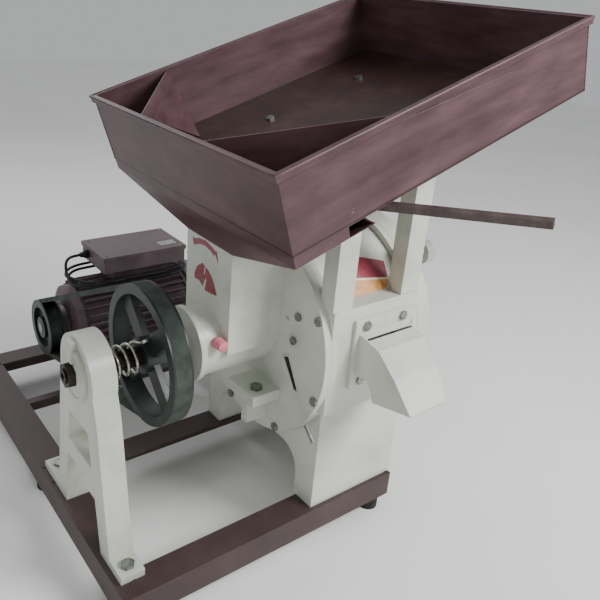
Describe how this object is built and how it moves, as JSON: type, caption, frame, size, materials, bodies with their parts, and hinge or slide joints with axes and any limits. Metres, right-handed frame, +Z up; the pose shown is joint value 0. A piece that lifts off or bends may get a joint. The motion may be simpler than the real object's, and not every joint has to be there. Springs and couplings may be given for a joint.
{
  "type": "hammer mill",
  "caption": "Belt-driven hammer mill on an angle-iron frame with a sloping feed tray, side throat, round chamber, outlet spout and electric motor.",
  "frame": {"origin": "centre of the machine's footprint box on the floor", "axes": "+X along the rotor shaft towards the chamber door, +Y towards the motor, +Z up"},
  "size_m": [1.0146, 1.3902, 1.1987],
  "materials": {
    "cast_enamel": "satin enamel on a cast surface",
    "tray_paint": "semi-gloss oxide paint on sheet steel",
    "frame_paint": "satin oxide paint on angle iron",
    "pulley_iron": "dark painted cast iron",
    "bright_steel": "turned steel",
    "spring_steel": "bright drawn wire",
    "dark_steel": "oiled black steel",
    "zinc_steel": "zinc plated",
    "motor_enamel": "satin enamel on cast fins",
    "motor_aluminium": "painted die casting",
    "cowl_paint": "painted sheet",
    "belt_rubber": "matt dusty rubber",
    "foot_rubber": "matt moulded rubber",
    "cap_plastic": "moulded soft plastic",
    "knob_plastic": "moulded phenolic",
    "lever_steel": "worn paint on bar",
    "cable_rubber": "matt cable sheath",
    "plug_plastic": "moulded plug"
  },
  "bodies": {
    "root": {"bearing_outer_rings": "bright_steel", "bearing_pedestal": "cast_enamel", "cable_gland": "knob_plastic", "door_hinge_pin": "zinc_steel", "drive_belt": "belt_rubber", "drum_casing": "cast_enamel", "feed_end_casting": "cast_enamel", "frame_bolts": "zinc_steel", "frame_feet": "foot_rubber", "front_rail": "frame_paint", "grease_cap": "cap_plastic", "hopper_bolts": "zinc_steel", "hopper_deflectors": "tray_paint", "hopper_funnel": "tray_paint", "hopper_spacer": "tray_paint", "hopper_struts": "cast_enamel", "hopper_tray": "tray_paint", "housing_cover": "cast_enamel", "left_rail": "frame_paint", "middle_rail": "frame_paint", "mill_bolts": "zinc_steel", "mill_stand": "cast_enamel", "motor_body": "motor_enamel", "motor_end_shields": "motor_aluminium", "motor_fan_cover": "cowl_paint", "motor_rails": "frame_paint", "motor_support_bar": "frame_paint", "outlet_spout": "cast_enamel", "pedestal_cover": "cast_enamel", "power_cable_coil": "cable_rubber", "power_cable_lead": "cable_rubber", "power_cable_tail": "cable_rubber", "power_plug": "plug_plastic", "rear_rail": "frame_paint", "right_rail": "frame_paint", "screen": "bright_steel", "terminal_box": "motor_enamel", "terminal_box_lid": "motor_enamel", "tray_bearer": "tray_paint"},
    "rotor": {"main_shaft": "dark_steel", "pulley_key": "bright_steel", "drive_pulley": "pulley_iron", "thrust_spring": "spring_steel", "rotor_discs": "bright_steel", "hammer_pins": "bright_steel", "bearing_inner_rings": "bright_steel"},
    "hammers_1": {"hammers_row_1": "dark_steel"},
    "hammers_2": {"hammers_row_2": "dark_steel"},
    "hammers_3": {"hammers_row_3": "dark_steel"},
    "hammers_4": {"hammers_row_4": "dark_steel"},
    "motor_rotor": {"motor_shaft": "bright_steel", "motor_pulley": "pulley_iron", "motor_armature": "dark_steel", "motor_fan": "knob_plastic"},
    "gate": {"feed_gate": "lever_steel", "gate_lever": "lever_steel"},
    "door": {"door": "cast_enamel"},
    "knob": {"door_knob": "knob_plastic"},
    "end_screw": {"adjusting_screw": "dark_steel", "lock_nut": "dark_steel"}
  },
  "joints": [
    {"name": "mill_spin", "type": "hinge", "parent": "root", "child": "rotor", "pos_m": [-0.09326, -0.10993, 0.486], "axis": [1, 0, 0], "continuous": true},
    {"name": "motor_spin", "type": "hinge", "parent": "root", "child": "motor_rotor", "pos_m": [-0.19326, 0.50507, 0.265], "axis": [1, 0, 0], "continuous": true},
    {"name": "hammer_swing_1", "type": "hinge", "parent": "rotor", "child": "hammers_1", "pos_m": [0.08174, -0.02155, 0.57439], "axis": [1, 0, 0], "continuous": true},
    {"name": "hammer_swing_2", "type": "hinge", "parent": "rotor", "child": "hammers_2", "pos_m": [0.08174, -0.19832, 0.57439], "axis": [1, 0, 0], "continuous": true},
    {"name": "hammer_swing_3", "type": "hinge", "parent": "rotor", "child": "hammers_3", "pos_m": [0.08174, -0.19832, 0.39761], "axis": [1, 0, 0], "continuous": true},
    {"name": "hammer_swing_4", "type": "hinge", "parent": "rotor", "child": "hammers_4", "pos_m": [0.08174, -0.02155, 0.39761], "axis": [1, 0, 0], "continuous": true},
    {"name": "gate_swing", "type": "hinge", "parent": "root", "child": "gate", "pos_m": [-0.09312, -0.28693, 0.85404], "axis": [-0.3123, 0, 0.95], "range_deg": [-25, 0]},
    {"name": "door_swing", "type": "hinge", "parent": "root", "child": "door", "pos_m": [0.21304, 0.16107, 0.486], "axis": [0, 0, 1], "range_deg": [0, 110]},
    {"name": "knob_turn", "type": "hinge", "parent": "door", "child": "knob", "pos_m": [0.25274, -0.29124, 0.67375], "axis": [1, 0, 0], "continuous": true},
    {"name": "screw_turn", "type": "hinge", "parent": "root", "child": "end_screw", "pos_m": [-0.49326, -0.10993, 0.486], "axis": [1, 0, 0], "range_deg": [-180, 180]}
  ],
  "couplings": [
    {"joint": "motor_spin", "follows": "mill_spin", "ratio": 1.9706}
  ]
}
